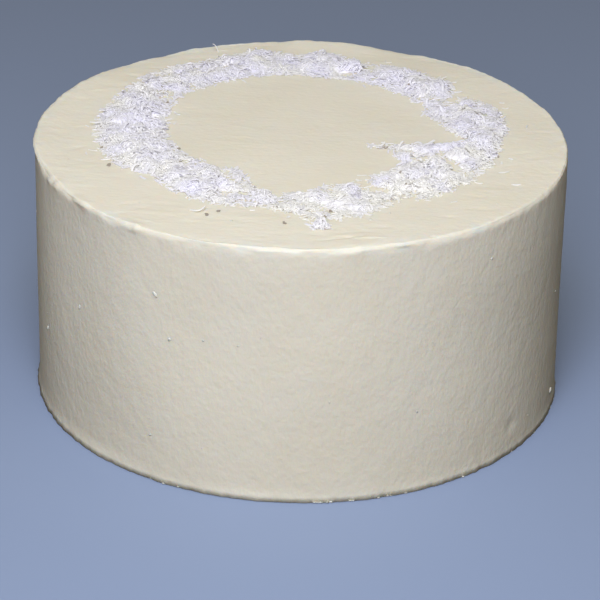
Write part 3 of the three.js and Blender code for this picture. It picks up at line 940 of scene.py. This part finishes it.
# The floor
# A wide plain sheet of pale blue-grey, matte, which the cake stands on. It throws no light of its own colour
# back at the icing.
FLOOR_SIDE = 6.0
FLOOR_DROP = 0.2 * MM  # below the base, so that the two aren't flush
FLOOR_COLOUR = "#8e9ebc"
bpy.ops.object.select_all(action="DESELECT")
bpy.ops.mesh.primitive_plane_add(size=FLOOR_SIDE, location=(0, 0, -FLOOR_DROP))
floor = bpy.context.object
floor.name = "floor"
floor_paint, surface = new_material("matte_floor")
matte = add_node(
    floor_paint, "ShaderNodeBsdfPrincipled", {"Base Color": linear(FLOOR_COLOUR), "Roughness": 0.7}
)
floor_paint.node_tree.links.new(matte.outputs[0], surface)
floor.data.materials.append(floor_paint)
floor.visible_diffuse = False
floor.visible_glossy = False

# The light
# A large soft lamp over the camera, a little to its left, as cool as daylight, a warmer one straight above,
# a wide dim one far behind, which shows the back of the cake, and a dim room.
ROOM_COLOUR = "#fff7ec"
ROOM_STRENGTH = 0.081
LAMPS = [
    ("front_lamp", (-0.065, -0.740, 0.769), 0.5, 1.1, 13.0, "#f1f4ff"),
    ("ceiling_lamp", (0, -0.15, 1.4), 0.8, 0.8, 2.3, "#fff3bf"),
    ("back_lamp", (0, 3.0, 0.9), 3.0, 1.4, 8.0, "#fff3e0"),
]
for name, spot, width, depth, power, tint in LAMPS:
    lamp = bpy.data.objects.new(name, bpy.data.lights.new(name, "AREA"))
    lamp.data.shape = "RECTANGLE"
    lamp.data.size = width
    lamp.data.size_y = depth
    lamp.data.energy = power
    lamp.data.color = linear(tint)[:3]
    lamp.location = spot
    lamp.visible_camera = False
    lamp.rotation_euler = (Vector((0, 0, DRUM_HEIGHT)) - Vector(spot)).to_track_quat("-Z", "Y").to_euler()
    bpy.context.collection.objects.link(lamp)
room = bpy.data.worlds.new("room")
room.use_nodes = True
room.node_tree.nodes["Background"].inputs["Color"].default_value = linear(ROOM_COLOUR)
room.node_tree.nodes["Background"].inputs["Strength"].default_value = ROOM_STRENGTH
bpy.context.scene.world = room
bpy.context.scene.view_settings.view_transform = "Standard"

# The camera
# A long lens that looks down on the cake a little, aimed and rolled as in the photograph.
CAMERA_DISTANCE = 990.5 * MM
CAMERA_LENS = 152.7  # millimetres, as is the sensor's width
CAMERA_SENSOR = 36
CAMERA_ELEVATION, CAMERA_ROLL, CAMERA_YAW, CAMERA_PITCH = (
    math.radians(degrees) for degrees in (25.58, 1.12, 0.038, -0.991)
)
target = Vector((0, 0, DRUM_HEIGHT / 2))
eye = target + CAMERA_DISTANCE * Vector((0, -math.cos(CAMERA_ELEVATION), math.sin(CAMERA_ELEVATION)))
straight = (target - eye).normalized()
right = straight.cross(Vector((0, 0, 1))).normalized()
upward = right.cross(straight)
aim = (straight + math.tan(CAMERA_YAW) * right + math.tan(CAMERA_PITCH) * upward).normalized()
right = aim.cross(upward).normalized()
upward = right.cross(aim)
rolled_right = math.cos(CAMERA_ROLL) * right + math.sin(CAMERA_ROLL) * upward
rolled_up = math.cos(CAMERA_ROLL) * upward - math.sin(CAMERA_ROLL) * right
camera = bpy.data.objects.new("camera", bpy.data.cameras.new("camera"))
camera.data.lens = CAMERA_LENS
camera.data.sensor_width = CAMERA_SENSOR
camera.matrix_world = Matrix.Translation(eye) @ Matrix((rolled_right, rolled_up, -aim)).transposed().to_4x4()
bpy.context.collection.objects.link(camera)
bpy.context.scene.camera = camera
